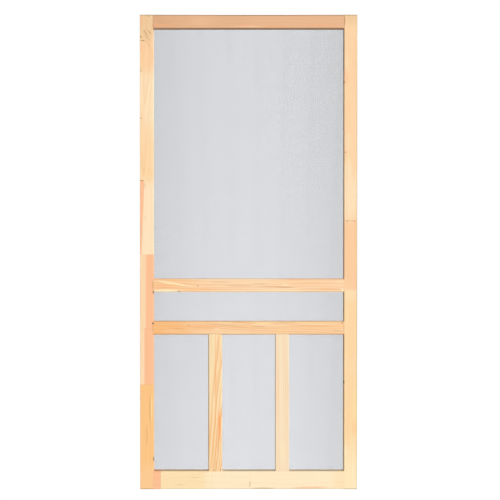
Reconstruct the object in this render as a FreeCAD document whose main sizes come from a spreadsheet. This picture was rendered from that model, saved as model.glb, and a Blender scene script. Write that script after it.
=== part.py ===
"""Wooden screen door: a pine frame of stiles, rails and mullions round five lights of insect mesh.

The stiles run the whole height. The rails are scribed over the chamfered inner edge of the stiles
and tenoned into them, and the two mullions are joined the same way to the two lowest rails.
Behind each light a rabbet is routed into the frame, with a groove in its floor. The mesh lies on
that floor and turns down into the groove, where four lengths of round spline hold it. The weave is
far too fine for a solid, so a plain grid of large openings is drawn for it.

Frame: X runs across the door from its hinge edge, Y from its front to its back, Z up from its foot.
The origin is on the hinge edge, at the foot and half-way through the thickness. Millimetres.
"""

import FreeCAD
import Part
import Sketcher
import math
import os

# Driving dimensions: alias, size in millimetres, meaning.
SIZES = [
    ("door_width", 925.0, "across the leaf, edge to edge"),
    ("door_height", 2020.0, "foot to head of the leaf"),
    ("door_thickness", 28.5, "front face to back face"),
    ("stile_width", 57.0, "face of each stile"),
    ("top_rail_height", 57.0, "face of the top rail"),
    ("middle_rail_height", 57.0, "face of each of the two middle rails"),
    ("bottom_rail_height", 78.0, "face of the bottom rail"),
    ("mullion_width", 59.0, "face of each mullion"),
    ("centre_light_width", 227.0, "clear width between the mullions"),
    ("lower_light_height", 581.5, "clear height of the three lower lights"),
    ("band_light_height", 124.5, "clear height between the middle rails"),
    ("sticking", 2.5, "chamfer along the front edges of every light"),
    ("arris_radius", 1.5, "rounding of the outer edges of the leaf"),
    ("tenon_thickness", 9.5, "thickness of every tenon"),
    ("tenon_length", 32.0, "reach of a rail's tenon into the stile"),
    ("stub_tenon_length", 20.0, "reach of a mullion's tenon into a rail"),
    ("tenon_shoulder", 10.0, "shoulder beside a tenon, next to a light"),
    ("tenon_relish", 16.0, "wood left between a tenon and the end of the stile"),
    ("tenon_clearance", 0.1, "room round a tenon in its mortise"),
    ("mortise_end_room", 1.0, "room past the end of a tenon"),
    ("rabbet_width", 10.5, "step round the back of every light"),
    ("rabbet_depth", 8.0, "depth of that step from the back face"),
    ("groove_land", 4.0, "rabbet floor between the light and the groove"),
    ("groove_depth", 3.0, "spline groove below the rabbet floor"),
    ("spline_diameter", 3.2, "round spline"),
    ("spline_clearance", 0.05, "room on each side of the spline"),
    ("mesh_thickness", 0.3, "insect mesh"),
    ("mesh_bar_width", 15.0, "bar between two openings of the plain grid drawn for the weave"),
    ("mesh_bar_spacing", 70.0, "widest spacing of those bars"),
    ("cutter_overrun", 6.0, "reach of a cutter past the face that it starts from"),
]

doc = FreeCAD.newDocument("screen_door")
sheet = doc.addObject("Spreadsheet::Sheet", "sizes")
for row, (alias, size, meaning) in enumerate(SIZES, start=1):
    sheet.set(f"A{row}", meaning)
    sheet.set(f"B{row}", str(size))
    sheet.setAlias(f"B{row}", alias)
doc.recompute()


def size_of(alias):
    """The expression that reads one driving dimension."""
    return f"sizes.{alias}"


def plus(*terms):
    return " + ".join(f"({term})" for term in terms)


def minus(first, *others):
    return " - ".join(f"({term})" for term in (first, *others))


def half(term):
    return f"({term}) / 2"


# Levels and lines of the frame, as expressions on the driving dimensions.
STICKING = size_of("sticking")
BACK = half(size_of("door_thickness"))
FRONT = f"-({BACK})"
FOOT = "0"
HEAD = size_of("door_height")
LEFT_EDGE = "0"
RIGHT_EDGE = size_of("door_width")

STILE_L = size_of("stile_width")
STILE_R = minus(RIGHT_EDGE, size_of("stile_width"))

BOTTOM_RAIL_TOP = size_of("bottom_rail_height")
LOWER_RAIL_FOOT = plus(BOTTOM_RAIL_TOP, size_of("lower_light_height"))
LOWER_RAIL_TOP = plus(LOWER_RAIL_FOOT, size_of("middle_rail_height"))
UPPER_RAIL_FOOT = plus(LOWER_RAIL_TOP, size_of("band_light_height"))
UPPER_RAIL_TOP = plus(UPPER_RAIL_FOOT, size_of("middle_rail_height"))
TOP_RAIL_FOOT = minus(HEAD, size_of("top_rail_height"))

MIDDLE = half(RIGHT_EDGE)
CENTRE_L = minus(MIDDLE, half(size_of("centre_light_width")))
CENTRE_R = plus(MIDDLE, half(size_of("centre_light_width")))
MULLION_L = minus(CENTRE_L, size_of("mullion_width"))
MULLION_R = plus(CENTRE_R, size_of("mullion_width"))

# The five lights: left, right, foot and head of each clear opening.
LIGHTS = {
    "upper": (STILE_L, STILE_R, UPPER_RAIL_TOP, TOP_RAIL_FOOT),
    "band": (STILE_L, STILE_R, LOWER_RAIL_TOP, UPPER_RAIL_FOOT),
    "lower_left": (STILE_L, MULLION_L, BOTTOM_RAIL_TOP, LOWER_RAIL_FOOT),
    "lower_centre": (CENTRE_L, CENTRE_R, BOTTOM_RAIL_TOP, LOWER_RAIL_FOOT),
    "lower_right": (MULLION_R, STILE_R, BOTTOM_RAIL_TOP, LOWER_RAIL_FOOT),
}
LOWER_LIGHTS = ["lower_left", "lower_centre", "lower_right"]

# Depths behind the front face that the mesh and its spline share.
OVERRUN = size_of("cutter_overrun")
RABBET_FLOOR = minus(BACK, size_of("rabbet_depth"))
GROOVE_FLOOR = minus(RABBET_FLOOR, size_of("groove_depth"))
MESH = size_of("mesh_thickness")
SPLINE_RADIUS = half(size_of("spline_diameter"))
SPLINE_ROOM = size_of("spline_clearance")
GROOVE_INNER = size_of("groove_land")
GROOVE_OUTER = plus(GROOVE_INNER, MESH, size_of("spline_diameter"), SPLINE_ROOM, SPLINE_ROOM)


def block(name, x, y, z):
    """A box between pairs of expressions."""
    box = doc.addObject("Part::Box", name)
    for length, axis, (low, high) in (("Length", "x", x), ("Width", "y", y), ("Height", "z", z)):
        box.setExpression(length, minus(high, low))
        box.setExpression(f"Placement.Base.{axis}", low)
    return box


def fuse(name, shapes):
    joined = doc.addObject("Part::MultiFuse", name)
    joined.Shapes = shapes
    joined.Refine = True
    return joined


def group(name, shapes):
    gathered = doc.addObject("Part::Compound", name)
    gathered.Links = shapes
    return gathered


def common(name, first, second):
    shared = doc.addObject("Part::Common", name)
    shared.Base = first
    shared.Tool = second
    return shared


def cut(name, base, tool):
    remainder = doc.addObject("Part::Cut", name)
    remainder.Base = base
    remainder.Tool = tool
    remainder.Refine = True
    return remainder


def section_sketch(body, plane_role, across, deep):
    """A rectangle with one corner on the body's origin, sized by two expressions.

    It is drawn at any size, and its two named constraints then take the expressions.
    """
    sketch = body.newObject("Sketcher::SketchObject", f"{body.Name}_section")
    plane = next(item for item in body.Origin.OriginFeatures if item.Role == plane_role)
    sketch.AttachmentSupport = [(plane, "")]
    sketch.MapMode = "FlatFace"
    drawn = 10.0
    corners = [(0, 0), (drawn, 0), (drawn, drawn), (0, drawn)]
    points = [FreeCAD.Vector(u, v, 0) for u, v in corners]
    for i in range(4):
        sketch.addGeometry(Part.LineSegment(points[i], points[(i + 1) % 4]), False)
    for i in range(4):
        sketch.addConstraint(Sketcher.Constraint("Coincident", i, 2, (i + 1) % 4, 1))
    for i, kind in enumerate(("Horizontal", "Vertical", "Horizontal", "Vertical")):
        sketch.addConstraint(Sketcher.Constraint(kind, i))
    sketch.addConstraint(Sketcher.Constraint("Coincident", 0, 1, -1, 1))
    sides = (("across", "DistanceX", 0, across), ("deep", "DistanceY", 1, deep))
    for name, kind, line, expression in sides:
        index = sketch.addConstraint(Sketcher.Constraint(kind, line, 1, line, 2, drawn))
        sketch.renameConstraint(index, name)
        sketch.setExpression(f"Constraints.{name}", expression)
    return sketch


def long_edges(shape, axis, wanted):
    """Names of the edges along an axis that pass through one of the wanted points."""
    names = []
    for number, edge in enumerate(shape.Edges, start=1):
        ends = [vertex.Point for vertex in edge.Vertexes]
        direction = (ends[1] - ends[0]).normalize()
        if abs(direction.dot(axis)) < 0.999:
            continue
        if any(ends[0].distanceToLine(point, axis) < 1e-6 for point in wanted):
            names.append(f"Edge{number}")
    return names


def bar(name, along, width, length, place, lit_sides):
    """A planed bar with its front edges chamfered beside the lights and its other edges rounded.

    along is "Z" for an upright and "X" for a rail. lit_sides says which sides of the face, "low" or
    "high" across it, border a light. The remaining sides are the outer edges of the leaf.
    """
    thickness = size_of("door_thickness")
    body = doc.addObject("PartDesign::Body", name)
    if along == "Z":
        sketch = section_sketch(body, "XY_Plane", width, thickness)
        axis = FreeCAD.Vector(0, 0, 1)
    else:
        sketch = section_sketch(body, "YZ_Plane", thickness, width)
        axis = FreeCAD.Vector(1, 0, 0)
    pad = body.newObject("PartDesign::Pad", f"{name}_pad")
    pad.Profile = sketch
    pad.setExpression("Length", length)
    doc.recompute()
    box = pad.Shape.BoundBox

    def corner(side, y):
        if along == "Z":
            return FreeCAD.Vector(box.XMin if side == "low" else box.XMax, y, 0)
        return FreeCAD.Vector(0, y, box.ZMin if side == "low" else box.ZMax)

    lit = [corner(side, box.YMin) for side in lit_sides]
    chamfer = body.newObject("PartDesign::Chamfer", f"{name}_sticking")
    chamfer.Base = (pad, long_edges(pad.Shape, axis, lit))
    chamfer.setExpression("Size", STICKING)
    doc.recompute()
    outer_sides = [side for side in ("low", "high") if side not in lit_sides]
    outer = [corner(side, y) for side in outer_sides for y in (box.YMin, box.YMax)]
    if outer:
        rounding = body.newObject("PartDesign::Fillet", f"{name}_arris")
        rounding.Base = (chamfer, long_edges(chamfer.Shape, axis, outer))
        rounding.setExpression("Radius", size_of("arris_radius"))
    for axis_name, expression in zip("xyz", place):
        body.setExpression(f"Placement.Base.{axis_name}", expression)
    doc.recompute()
    return body


def routed_tools(light):
    """The rabbet behind a light and the groove in its floor, as the router cuts them."""
    left, right, foot, head = LIGHTS[light]

    def span(low, high, reach):
        return (minus(low, reach), plus(high, reach))

    reach = size_of("rabbet_width")
    rabbet = block(
        f"{light}_rabbet",
        span(left, right, reach),
        (RABBET_FLOOR, plus(BACK, OVERRUN)),
        span(foot, head, reach),
    )
    depth = (GROOVE_FLOOR, plus(RABBET_FLOOR, OVERRUN))
    outside = block(
        f"{light}_groove_outside", span(left, right, GROOVE_OUTER), depth, span(foot, head, GROOVE_OUTER)
    )
    inside = block(
        f"{light}_groove_inside",
        span(left, right, GROOVE_INNER),
        (minus(GROOVE_FLOOR, OVERRUN), plus(RABBET_FLOOR, OVERRUN, OVERRUN)),
        span(foot, head, GROOVE_INNER),
    )
    groove = cut(f"{light}_groove", outside, inside)
    return [rabbet, groove]


ROUTING = {light: routed_tools(light) for light in LIGHTS}


def routing_for(lights):
    return [tool for light in lights for tool in ROUTING[light]]


def peg(name, along, reach, sides, room=None):
    """A tenon, or with room the mortise for it, as a box centred in the thickness of the leaf.

    reach is the pair of expressions along the joint, sides the pair across the face.
    """
    half_thickness = half(size_of("tenon_thickness"))
    grown = room or "0"
    depth = (minus(f"-({half_thickness})", grown), plus(half_thickness, grown))
    across = (minus(sides[0], grown), plus(sides[1], grown))
    if along == "X":
        return block(name, reach, depth, across)
    return block(name, across, depth, reach)


CLEARANCE = size_of("tenon_clearance")
END_ROOM = size_of("mortise_end_room")
SHOULDER = size_of("tenon_shoulder")
RELISH = size_of("tenon_relish")


# Uprights before the joints are cut.
STILE = size_of("stile_width")
left_blank = bar("left_stile_blank", "Z", STILE, HEAD, (LEFT_EDGE, FRONT, FOOT), ["high"])
right_blank = bar("right_stile_blank", "Z", STILE, HEAD, (STILE_R, FRONT, FOOT), ["low"])
stile_blanks = fuse("stile_blanks", [left_blank, right_blank])

# Rails: foot, head, lit sides, shoulders under and over the tenon, and the lights that they border.
RAILS = {
    "top_rail": (TOP_RAIL_FOOT, HEAD, ["low"], SHOULDER, RELISH, ["upper"]),
    "upper_middle_rail": (
        UPPER_RAIL_FOOT,
        UPPER_RAIL_TOP,
        ["low", "high"],
        SHOULDER,
        SHOULDER,
        ["upper", "band"],
    ),
    "lower_middle_rail": (
        LOWER_RAIL_FOOT,
        LOWER_RAIL_TOP,
        ["low", "high"],
        SHOULDER,
        SHOULDER,
        ["band", *LOWER_LIGHTS],
    ),
    "bottom_rail": (FOOT, BOTTOM_RAIL_TOP, ["high"], RELISH, SHOULDER, LOWER_LIGHTS),
}

# Mullions: left and right side, and the lights that they border.
MULLIONS = {
    "left_mullion": (MULLION_L, CENTRE_L, ["lower_left", "lower_centre"]),
    "right_mullion": (CENTRE_R, MULLION_R, ["lower_centre", "lower_right"]),
}

rail_blanks = {}
stile_mortises = {"left": [], "right": []}
rail_mortises = {name: [] for name in RAILS}
finished = []


def finish(piece, label):
    """Names a finished piece, which is then written to a file of that name."""
    piece.Label = label
    finished.append(piece)


def scribed_rail(name):
    """The blank of a rail, scribed over the chamfer of both stiles, with a tenon at each end."""
    foot, head, lit_sides, under, over, _ = RAILS[name]
    start = minus(STILE_L, STICKING)
    length = minus(plus(STILE_R, STICKING), start)
    blank = bar(f"{name}_blank", "X", minus(head, foot), length, (start, FRONT, foot), lit_sides)
    rail_blanks[name] = blank
    scribed = cut(f"{name}_scribed", blank, stile_blanks)
    sides = (plus(foot, under), minus(head, over))
    reach = size_of("tenon_length")
    tenons = [
        peg(f"{name}_left_tenon", "X", (minus(STILE_L, reach), plus(STILE_L, STICKING)), sides),
        peg(f"{name}_right_tenon", "X", (minus(STILE_R, STICKING), plus(STILE_R, reach)), sides),
    ]
    past = plus(reach, END_ROOM)
    left_hole = (minus(STILE_L, past), plus(STILE_L, OVERRUN))
    right_hole = (minus(STILE_R, OVERRUN), plus(STILE_R, past))
    stile_mortises["left"].append(peg(f"{name}_left_mortise", "X", left_hole, sides, CLEARANCE))
    stile_mortises["right"].append(peg(f"{name}_right_mortise", "X", right_hole, sides, CLEARANCE))
    return fuse(f"{name}_tenoned", [scribed, *tenons])


def scribed_mullion(name):
    """The blank of a mullion, scribed over the chamfers of both rails, with a stub tenon at each end."""
    left, right, _ = MULLIONS[name]
    start = minus(BOTTOM_RAIL_TOP, STICKING)
    length = minus(plus(LOWER_RAIL_FOOT, STICKING), start)
    blank = bar(f"{name}_blank", "Z", minus(right, left), length, (left, FRONT, start), ["low", "high"])
    seats = fuse(f"{name}_seats", [rail_blanks["bottom_rail"], rail_blanks["lower_middle_rail"]])
    scribed = cut(f"{name}_scribed", blank, seats)
    sides = (plus(left, SHOULDER), minus(right, SHOULDER))
    reach = size_of("stub_tenon_length")
    foot_reach = (minus(BOTTOM_RAIL_TOP, reach), plus(BOTTOM_RAIL_TOP, STICKING))
    head_reach = (minus(LOWER_RAIL_FOOT, STICKING), plus(LOWER_RAIL_FOOT, reach))
    tenons = [
        peg(f"{name}_foot_tenon", "Z", foot_reach, sides),
        peg(f"{name}_head_tenon", "Z", head_reach, sides),
    ]
    past = plus(reach, END_ROOM)
    foot_hole = (minus(BOTTOM_RAIL_TOP, past), plus(BOTTOM_RAIL_TOP, OVERRUN))
    head_hole = (minus(LOWER_RAIL_FOOT, OVERRUN), plus(LOWER_RAIL_FOOT, past))
    foot_mortise = peg(f"{name}_foot_mortise", "Z", foot_hole, sides, CLEARANCE)
    head_mortise = peg(f"{name}_head_mortise", "Z", head_hole, sides, CLEARANCE)
    rail_mortises["bottom_rail"].append(foot_mortise)
    rail_mortises["lower_middle_rail"].append(head_mortise)
    return fuse(f"{name}_tenoned", [scribed, *tenons])


tenoned_rails = {name: scribed_rail(name) for name in RAILS}
tenoned_mullions = {name: scribed_mullion(name) for name in MULLIONS}

# Every member is mortised and then routed from the back for the lights beside it.
STILES = {
    "left_stile": (left_blank, stile_mortises["left"], ["upper", "band", "lower_left"]),
    "right_stile": (right_blank, stile_mortises["right"], ["upper", "band", "lower_right"]),
}
members = dict(STILES)
for name, (*_, lights) in RAILS.items():
    members[name] = (tenoned_rails[name], rail_mortises[name], lights)
for name, (_, _, lights) in MULLIONS.items():
    members[name] = (tenoned_mullions[name], [], lights)
for name, (blank, mortises, lights) in members.items():
    cutters = fuse(f"{name}_cutters", [*mortises, *routing_for(lights)])
    finish(cut(f"{name}_finished", blank, cutters), name)


def cells(low, high):
    """Pairs of expressions that part a stretch into equal cells, each less a bar's width."""
    span = sheet.evalExpression(minus(high, low))
    count = math.ceil(span / sheet.evalExpression(size_of("mesh_bar_spacing")))
    side = half(size_of("mesh_bar_width"))
    pitch = f"({minus(high, low)}) / {count}"
    starts = [plus(low, f"({pitch}) * {i}") for i in range(count)]
    return [(plus(start, side), minus(plus(start, pitch), side)) for start in starts]


def mesh_openings(light):
    """The openings of one light's mesh: where its columns cross its rows."""
    left, right, foot, head = LIGHTS[light]
    depth = (minus(RABBET_FLOOR, OVERRUN), plus(RABBET_FLOOR, MESH, OVERRUN))
    columns = [
        block(f"{light}_mesh_column_{i}", cell, depth, (foot, head))
        for i, cell in enumerate(cells(left, right), start=1)
    ]
    rows = [
        block(f"{light}_mesh_row_{i}", (left, right), depth, cell)
        for i, cell in enumerate(cells(foot, head), start=1)
    ]
    all_columns = group(f"{light}_mesh_columns", columns)
    all_rows = group(f"{light}_mesh_rows", rows)
    return common(f"{light}_mesh_openings", all_columns, all_rows)


def mesh_panel(light):
    """The mesh of one light: flat on the rabbet floor, its edge turned down into the groove."""
    left, right, foot, head = LIGHTS[light]
    outer = plus(GROOVE_INNER, MESH)
    lip_end = plus(GROOVE_FLOOR, SPLINE_ROOM)
    folded = block(
        f"{light}_mesh_folded",
        (minus(left, outer), plus(right, outer)),
        (lip_end, plus(RABBET_FLOOR, MESH)),
        (minus(foot, outer), plus(head, outer)),
    )
    hollow = block(
        f"{light}_mesh_hollow",
        (minus(left, GROOVE_INNER), plus(right, GROOVE_INNER)),
        (minus(lip_end, OVERRUN), RABBET_FLOOR),
        (minus(foot, GROOVE_INNER), plus(head, GROOVE_INNER)),
    )
    sheet_of_mesh = cut(f"{light}_mesh_sheet", folded, hollow)
    finish(cut(f"{light}_mesh", sheet_of_mesh, mesh_openings(light)), f"{light}_screen")


def spline_run(light, side, along, start, length, line):
    """One cut length of round spline. line gives the two other coordinates of its axis, y last."""
    run = doc.addObject("Part::Cylinder", f"{light}_spline_{side}_run")
    run.setExpression("Radius", SPLINE_RADIUS)
    run.setExpression("Height", length)
    if along == "X":
        run.Placement.Rotation = FreeCAD.Rotation(FreeCAD.Vector(0, 1, 0), 90)
        place = (start, line[1], line[0])
    else:
        place = (line[0], line[1], start)
    for axis, expression in zip("xyz", place):
        run.setExpression(f"Placement.Base.{axis}", expression)
    finish(run, f"{light}_spline_{side}")


def splines(light):
    """Two upright lengths as tall as the groove, and two level lengths between them."""
    left, right, foot, head = LIGHTS[light]
    to_axis = plus(GROOVE_INNER, MESH, SPLINE_ROOM, SPLINE_RADIUS)
    depth = plus(GROOVE_FLOOR, SPLINE_ROOM, SPLINE_RADIUS)
    low_x, high_x = minus(left, to_axis), plus(right, to_axis)
    low_z, high_z = minus(foot, to_axis), plus(head, to_axis)
    upright_start = minus(low_z, SPLINE_RADIUS)
    upright_length = minus(plus(high_z, SPLINE_RADIUS), upright_start)
    level_start = plus(low_x, SPLINE_RADIUS, SPLINE_ROOM)
    level_length = minus(high_x, SPLINE_RADIUS, SPLINE_ROOM, level_start)
    spline_run(light, "left", "Z", upright_start, upright_length, (low_x, depth))
    spline_run(light, "right", "Z", upright_start, upright_length, (high_x, depth))
    spline_run(light, "foot", "X", level_start, level_length, (low_z, depth))
    spline_run(light, "head", "X", level_start, level_length, (high_z, depth))


for light in LIGHTS:
    mesh_panel(light)
    splines(light)

doc.recompute()
failed = [item.Name for item in doc.Objects if "Invalid" in item.State or "Error" in item.State]
if failed:
    raise RuntimeError(f"these objects did not build: {failed}")

os.makedirs("parts", exist_ok=True)
for piece in finished:
    shape = piece.Shape
    if shape.isNull() or not shape.isValid() or len(shape.Solids) != 1:
        raise RuntimeError(f"{piece.Label} is not one sound solid")
    shape.exportStep(f"parts/{piece.Label}.step")
    print(f"{piece.Label}: {shape.Volume / 1000:.1f} cm3")
print(f"{len(finished)} pieces")
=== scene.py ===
# %% [markdown]
# # A pine screen door
# This lesson dresses a door leaf whose wooden members, mesh panels and spline were built as solids.
# The solids stay the authority for size and place. Each cell makes one kind of piece, or one finish,
# around them, in metres and in their frame: X across the leaf, Y from front to back, Z up.

# %% Load the solids
import math

import bmesh
import bpy
import numpy as np
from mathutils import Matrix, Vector


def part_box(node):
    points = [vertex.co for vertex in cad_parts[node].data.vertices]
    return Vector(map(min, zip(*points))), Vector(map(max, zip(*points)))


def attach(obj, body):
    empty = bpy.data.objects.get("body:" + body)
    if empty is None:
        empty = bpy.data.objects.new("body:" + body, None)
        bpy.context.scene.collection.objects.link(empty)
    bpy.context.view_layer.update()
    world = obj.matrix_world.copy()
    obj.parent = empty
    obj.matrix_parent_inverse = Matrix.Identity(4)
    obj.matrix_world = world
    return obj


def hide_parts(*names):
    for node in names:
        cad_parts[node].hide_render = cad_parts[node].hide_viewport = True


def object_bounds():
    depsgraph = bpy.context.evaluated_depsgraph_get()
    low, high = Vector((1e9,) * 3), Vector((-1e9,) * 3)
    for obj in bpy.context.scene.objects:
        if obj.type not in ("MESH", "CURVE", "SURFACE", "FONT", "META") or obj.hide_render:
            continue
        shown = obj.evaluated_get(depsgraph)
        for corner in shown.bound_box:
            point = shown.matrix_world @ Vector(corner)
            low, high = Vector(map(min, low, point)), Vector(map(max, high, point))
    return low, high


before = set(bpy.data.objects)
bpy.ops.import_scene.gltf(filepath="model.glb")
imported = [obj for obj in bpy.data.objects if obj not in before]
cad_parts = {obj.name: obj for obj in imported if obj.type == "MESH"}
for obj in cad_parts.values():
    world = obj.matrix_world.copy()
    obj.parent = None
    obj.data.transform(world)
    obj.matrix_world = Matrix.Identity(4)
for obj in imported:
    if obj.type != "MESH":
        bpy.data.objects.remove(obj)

MM = 0.001
cad_low, cad_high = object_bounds()
leaf_centre = (cad_low + cad_high) / 2
print("solids:", len(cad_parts), "size in metres:", tuple(cad_high - cad_low))

# %% [markdown]
# ## The camera
# The photograph looks straight at the leaf from waist height. A camera could be set by eye, but the
# picture gives it: the leaf's height spans 475 of its 500 pixels, and the strips of inner edge that
# show round the lights fix the distance, because a nearer camera would show wider ones. The leaf is
# a trace wider at its head, so the camera looks very slightly down.

# %% Place the camera
PICTURE_PIXELS = 500
LEAF_HEIGHT_PIXELS = 474.65
LEAF_CENTRE_PIXEL = (248.6, 252.4)
CAMERA_DISTANCE = 2.63
CAMERA_PITCH = math.radians(0.27)
SENSOR_WIDTH = 36.0

metres_per_pixel = (cad_high.z - cad_low.z) / LEAF_HEIGHT_PIXELS
aim_x = leaf_centre.x + (PICTURE_PIXELS / 2 - LEAF_CENTRE_PIXEL[0]) * metres_per_pixel
aim_z = leaf_centre.z + (LEAF_CENTRE_PIXEL[1] - PICTURE_PIXELS / 2) * metres_per_pixel
camera_height = aim_z + CAMERA_DISTANCE * math.tan(CAMERA_PITCH)

camera_data = bpy.data.cameras.new("photo_camera")
camera_data.sensor_width = SENSOR_WIDTH
camera_data.lens = SENSOR_WIDTH * CAMERA_DISTANCE / (PICTURE_PIXELS * metres_per_pixel)
camera = bpy.data.objects.new("photo_camera", camera_data)
camera.location = (aim_x, cad_low.y - CAMERA_DISTANCE, camera_height)
camera.rotation_euler = (math.radians(90) - CAMERA_PITCH, 0, 0)
bpy.context.scene.collection.objects.link(camera)
bpy.context.scene.camera = camera
print(f"lens {camera_data.lens:.1f} mm, {metres_per_pixel / MM:.2f} mm a pixel")

# %% [markdown]
# ## Shader maths in Python
# A finish is a graph of nodes, and nodes can be placed one by one, but a formula reads best as a
# formula. `Value` wraps an output socket, so that `1 - mask` adds a Math node. `Finish` holds the
# material, and its one method `node` makes every node: settings first, then sockets.


# %% A number that varies over a surface
class Value:
    """An output socket with Python's operators. Each expression adds a Math node."""

    def __init__(self, finish, socket):
        self.finish = finish
        self.socket = socket

    def __add__(self, other):
        return self.finish.maths("ADD", self, other)

    def __sub__(self, other):
        return self.finish.maths("SUBTRACT", self, other)

    def __rsub__(self, other):
        return self.finish.maths("SUBTRACT", other, self)

    def __mul__(self, other):
        return self.finish.maths("MULTIPLY", self, other)

    def __truediv__(self, other):
        return self.finish.maths("DIVIDE", self, other)

    def __rtruediv__(self, other):
        return self.finish.maths("DIVIDE", other, self)

    def __gt__(self, other):
        return self.finish.maths("GREATER_THAN", self, other)

    def __abs__(self):
        return self.finish.maths("ABSOLUTE", self)

    __radd__ = __add__
    __rmul__ = __mul__

    def squared(self):
        return self * self

    def fraction(self):
        return self.finish.maths("FRACT", self)

    def root(self):
        return self.finish.maths("SQRT", self)

    def ramp(self, low, high):
        """0 at low, 1 at high and eased between, also where low is the larger."""
        start, end = (0.0, 1.0) if low < high else (1.0, 0.0)
        limits = {"From Min": min(low, high), "From Max": max(low, high), "To Min": start, "To Max": end}
        smooth = {"interpolation_type": "SMOOTHSTEP"}
        return self.finish.node("ShaderNodeMapRange", smooth, Value=self, **limits)["Result"]


print("operators:", [name for name in vars(Value) if name.startswith("__") and name != "__init__"])


# %% A material under construction
class Finish:
    """Holds a material and makes its nodes."""

    def __init__(self, name):
        self.material = bpy.data.materials.new(name)
        self.material.use_nodes = True
        self.tree = self.material.node_tree
        self.tree.nodes.clear()

    def node(self, kind, settings=None, *values, **sockets):
        """Makes a node, sets it up, feeds sockets in order or by name and returns its outputs."""
        made = self.tree.nodes.new(kind)
        for name, setting in (settings or {}).items():
            setattr(made, name, setting)
        inputs = [socket for socket in made.inputs if socket.enabled]
        by_name = {socket.name: socket for socket in inputs}
        feeds = list(zip(inputs, values)) + [(by_name[name], value) for name, value in sockets.items()]
        for socket, value in feeds:
            if isinstance(value, Value):
                self.tree.links.new(value.socket, socket)
            elif socket.type == "RGBA":
                socket.default_value = (*value, 1.0)
            else:
                socket.default_value = value
        return {out.name: Value(self, out) for out in made.outputs if out.enabled}

    def maths(self, operation, *values):
        return self.node("ShaderNodeMath", {"operation": operation}, *values)["Value"]

    def mix(self, share, first, second):
        """A colour between two colours."""
        colours = {"data_type": "RGBA"}
        return self.node("ShaderNodeMix", colours, Factor=share, A=first, B=second)["Result"]

    def position(self):
        """The place on the leaf, as three values in metres."""
        place = self.node("ShaderNodeTexCoord")["Object"]
        parts = self.node("ShaderNodeSeparateXYZ", Vector=place)
        return parts["X"], parts["Y"], parts["Z"]

    def noise(self, x, y, z, detail=2.0):
        """Smooth noise from 0 to 1, with about one feature to each unit of its coordinates."""
        place = self.node("ShaderNodeCombineXYZ", X=x, Y=y, Z=z)["Vector"]
        return self.node("ShaderNodeTexNoise", Vector=place, Scale=1.0, Detail=detail)["Fac"]

    def done(self, shader):
        """Ends the graph in a shader and hands over the material."""
        self.node("ShaderNodeOutputMaterial", Surface=shader)
        return self.material

    def painted(self, colour, roughness, relief, relief_depth, specular=0.5):
        """A material from a colour, a roughness and a fine relief."""
        normal = self.node("ShaderNodeBump", Height=relief, Distance=relief_depth)["Normal"]
        sockets = {
            "Base Color": colour,
            "Roughness": roughness,
            "Normal": normal,
            "Specular IOR Level": specular,
        }
        return self.done(self.node("ShaderNodeBsdfPrincipled", **sockets)["BSDF"])


def tone(red, green, blue):
    """A colour as a picture gives it, 0 to 255, made linear for a shader."""
    parts = (part / 255 for part in (red, green, blue))
    return tuple(part / 12.92 if part < 0.04 else ((part + 0.055) / 1.055) ** 2.4 for part in parts)


print("a mid grey is", tuple(round(part, 3) for part in tone(128, 128, 128)), "to a shader")

# %% [markdown]
# ## Pine, board by board
# A member is planed from one length of pine, or from several glued end to end with finger joints,
# so that its tone jumps where a length ends. A painted picture could show that on one face. Here a
# `Board` lists its lengths instead, and the finish is solid, so the edges, the back and the ends
# agree with the face. Places are in millimetres, as a maker reads them off a rule: along from the
# leaf's foot or hinge edge, and across from the board's middle, upwards or to the right.

# %% Describe a board
# In millimetres: an edge beyond any board, the depth of a mark on the front face, and the depth of
# one that also covers the strip of inner edge in front of the mesh.
NO_HEART = 1000
FACE_DEEP = 4
EDGE_DEEP = 20


class Length:
    """One length of timber in a board, from start to the next.

    sap and heart are its two tones. The heartwood lies past heart_edge, on heart_side of it, and its
    edge moves by heart_slope along the board. pith is the place of the tree's middle, to the side
    of the board's middle and behind it, and lean is how that drifts along the board.
    """

    def __init__(
        self, start, sap, heart=None, heart_edge=NO_HEART, heart_slope=0.0, heart_side=1,
        pith=(100, 50), lean=(0.0, 0.0), ring=4.0, contrast=0.3,
    ):
        self.start = start * MM
        self.sap = tone(*sap)
        self.heart = tone(*(heart or sap))
        self.heart_edge = heart_edge * MM
        self.heart_slope = heart_slope
        self.heart_side = heart_side
        self.pith_across, self.pith_behind = (place * MM for place in pith)
        self.lean_across, self.lean_behind = lean
        self.ring = ring * MM
        self.contrast = contrast


class Patch:
    """A soft ellipse of another tone, with its place and its half length and half width.

    deep is how far a mark goes in from the front face. A wash goes right through.
    """

    def __init__(
        self, along, across, half_length, half_width, colour,
        strength=0.7, tilt=0.0, deep=FACE_DEEP,
    ):
        self.along = along * MM
        self.across = across * MM
        self.half_length = half_length * MM
        self.half_width = half_width * MM
        self.colour = tone(*colour)
        self.strength = strength
        self.tilt = tilt
        self.deep = deep * MM


class Board:
    """The timber of one member.

    washes are patches in the wood, under its rings, and marks lie over them: streaks, stains and nicks,
    and painted shade along edges and in the corners of joints.
    knots are (along, across, radius), and wild is how far the grain wanders.
    """

    def __init__(self, node, upright, seed, lengths, washes=(), marks=(), knots=(), wild=1.0):
        self.node = node
        self.upright = upright
        self.seed = seed
        self.lengths = lengths
        self.washes = washes
        self.marks = marks
        self.knots = [(along * MM, across * MM, radius * MM) for along, across, radius in knots]
        self.wild = wild


sample = Length(start=0, sap=(255, 236, 198))
print("a length without heartwood:", vars(sample))
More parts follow.
